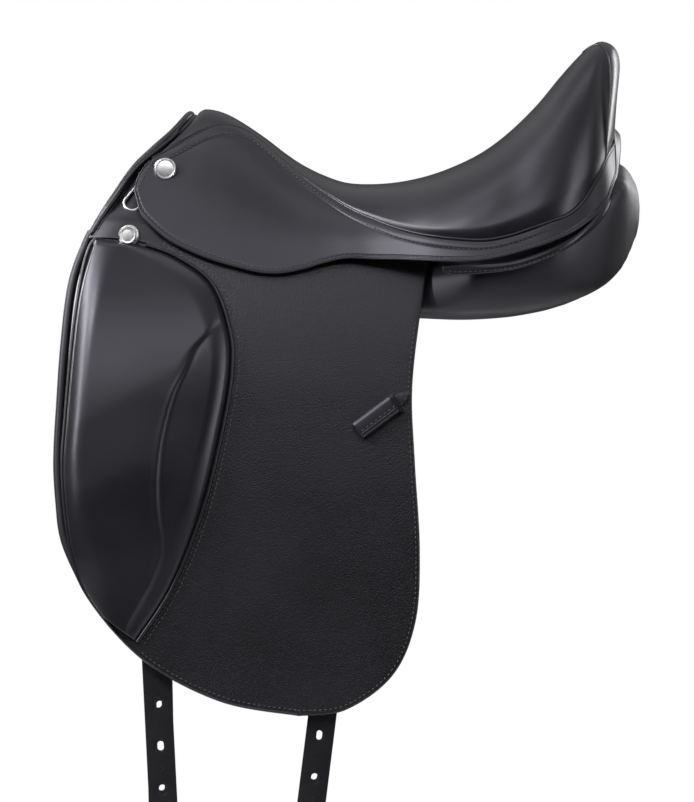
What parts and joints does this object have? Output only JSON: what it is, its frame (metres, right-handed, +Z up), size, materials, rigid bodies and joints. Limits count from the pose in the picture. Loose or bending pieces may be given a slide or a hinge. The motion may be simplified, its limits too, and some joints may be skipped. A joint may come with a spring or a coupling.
{
  "type": "dressage saddle",
  "caption": "Black leather dressage saddle: deep seat with high cantle, long straight flaps with raised knee blocks, long girth straps, stirrup bars and stuffed panels.",
  "frame": {"origin": "on the mid-plane, at the level where the panel bears on the horse's back, under the lowest part of the seat", "axes": "+X to the rear (cantle), +Y to the off (right) side, +Z up"},
  "size_m": [0.545, 0.3698, 0.82],
  "materials": {
    "smooth_leather": "satin, smooth black",
    "grain_leather": "matt, fine pebble grain, black",
    "panel_leather": "satin, soft black",
    "welt_leather": "satin black piping",
    "strap_leather": "matt black strap leather",
    "steel": "forged steel",
    "nickel": "polished nickel plate",
    "tree_plastic": "moulded",
    "foam": "open-cell foam",
    "webbing": "woven webbing",
    "wool": "loose wool flocking"
  },
  "bodies": {
    "saddle": {"tree_shell": "tree_plastic", "head_plate": "steel", "bar_rivets": "steel", "catch_pins": "steel", "near_stirrup_bar": "steel", "off_stirrup_bar": "steel", "seat_webbing": "webbing", "strap_webs": "webbing", "seat_foam": "foam", "seat_cover": "smooth_leather", "front_facing": "smooth_leather", "rear_facing": "smooth_leather", "seat_welt": "welt_leather", "near_skirt": "smooth_leather", "off_skirt": "smooth_leather", "near_head_cover": "smooth_leather", "off_head_cover": "smooth_leather", "dee_chapes": "smooth_leather", "skirt_studs": "nickel", "point_studs": "nickel", "near_panel": "panel_leather", "off_panel": "panel_leather", "near_flocking": "wool", "off_flocking": "wool", "channel_lining": "panel_leather", "near_sweat_flap": "panel_leather", "off_sweat_flap": "panel_leather", "near_edge_roll": "panel_leather", "off_edge_roll": "panel_leather", "near_flap_top": "grain_leather", "off_flap_top": "grain_leather"},
    "near_flap": {"near_flap": "grain_leather", "near_knee_block": "smooth_leather", "near_block_welt": "welt_leather", "near_leather_keeper": "smooth_leather"},
    "near_skirt_lobe": {"near_skirt_lobe": "smooth_leather"},
    "near_front_strap": {"near_front_strap": "strap_leather"},
    "near_rear_strap": {"near_rear_strap": "strap_leather"},
    "near_catch": {"near_bar_catch": "steel"},
    "near_dee": {"near_dee": "nickel"},
    "off_flap": {"off_flap": "grain_leather", "off_knee_block": "smooth_leather", "off_block_welt": "welt_leather", "off_leather_keeper": "smooth_leather"},
    "off_skirt_lobe": {"off_skirt_lobe": "smooth_leather"},
    "off_front_strap": {"off_front_strap": "strap_leather"},
    "off_rear_strap": {"off_rear_strap": "strap_leather"},
    "off_catch": {"off_bar_catch": "steel"},
    "off_dee": {"off_dee": "nickel"}
  },
  "joints": [
    {"name": "near_flap_lift", "type": "hinge", "parent": "saddle", "child": "near_flap", "pos_m": [-0.255, -0.10289, 0.079], "axis": [-0.9602, 0.0823, 0.2671], "range_deg": [0, 65]},
    {"name": "off_flap_lift", "type": "hinge", "parent": "saddle", "child": "off_flap", "pos_m": [-0.255, 0.10289, 0.079], "axis": [0.9602, 0.0823, -0.2671], "range_deg": [0, 65]},
    {"name": "near_skirt_lift", "type": "hinge", "parent": "saddle", "child": "near_skirt_lobe", "pos_m": [-0.217, -0.09201, 0.11739], "axis": [-0.9424, 0.1379, 0.3047], "range_deg": [0, 70]},
    {"name": "off_skirt_lift", "type": "hinge", "parent": "saddle", "child": "off_skirt_lobe", "pos_m": [-0.217, 0.09201, 0.11739], "axis": [0.9424, 0.1379, -0.3047], "range_deg": [0, 70]},
    {"name": "near_front_strap_swing", "type": "hinge", "parent": "saddle", "child": "near_front_strap", "pos_m": [-0.211, -0.12804, -0.06], "axis": [0, -0.995, 0.0995], "range_deg": [-8, 8]},
    {"name": "near_rear_strap_swing", "type": "hinge", "parent": "saddle", "child": "near_rear_strap", "pos_m": [-0.006, -0.12804, -0.06], "axis": [0, -0.995, 0.0995], "range_deg": [-8, 8]},
    {"name": "off_front_strap_swing", "type": "hinge", "parent": "saddle", "child": "off_front_strap", "pos_m": [-0.211, 0.12804, -0.06], "axis": [0, -0.995, -0.0995], "range_deg": [-8, 8]},
    {"name": "off_rear_strap_swing", "type": "hinge", "parent": "saddle", "child": "off_rear_strap", "pos_m": [-0.006, 0.12804, -0.06], "axis": [0, -0.995, -0.0995], "range_deg": [-8, 8]},
    {"name": "near_catch_turn", "type": "hinge", "parent": "saddle", "child": "near_catch", "pos_m": [-0.091, -0.09098, 0.08528], "axis": [0, -0.9205, 0.3907], "range_deg": [0, 70]},
    {"name": "off_catch_turn", "type": "hinge", "parent": "saddle", "child": "off_catch", "pos_m": [-0.091, 0.09098, 0.08528], "axis": [0, -0.9205, -0.3907], "range_deg": [0, 70]},
    {"name": "near_dee_swing", "type": "hinge", "parent": "saddle", "child": "near_dee", "pos_m": [-0.213, -0.08216, 0.11613], "axis": [-0.809, 0.2668, 0.5237], "range_deg": [0, 4]},
    {"name": "off_dee_swing", "type": "hinge", "parent": "saddle", "child": "off_dee", "pos_m": [-0.213, 0.08216, 0.11613], "axis": [0.809, 0.2668, -0.5237], "range_deg": [0, 4]}
  ]
}
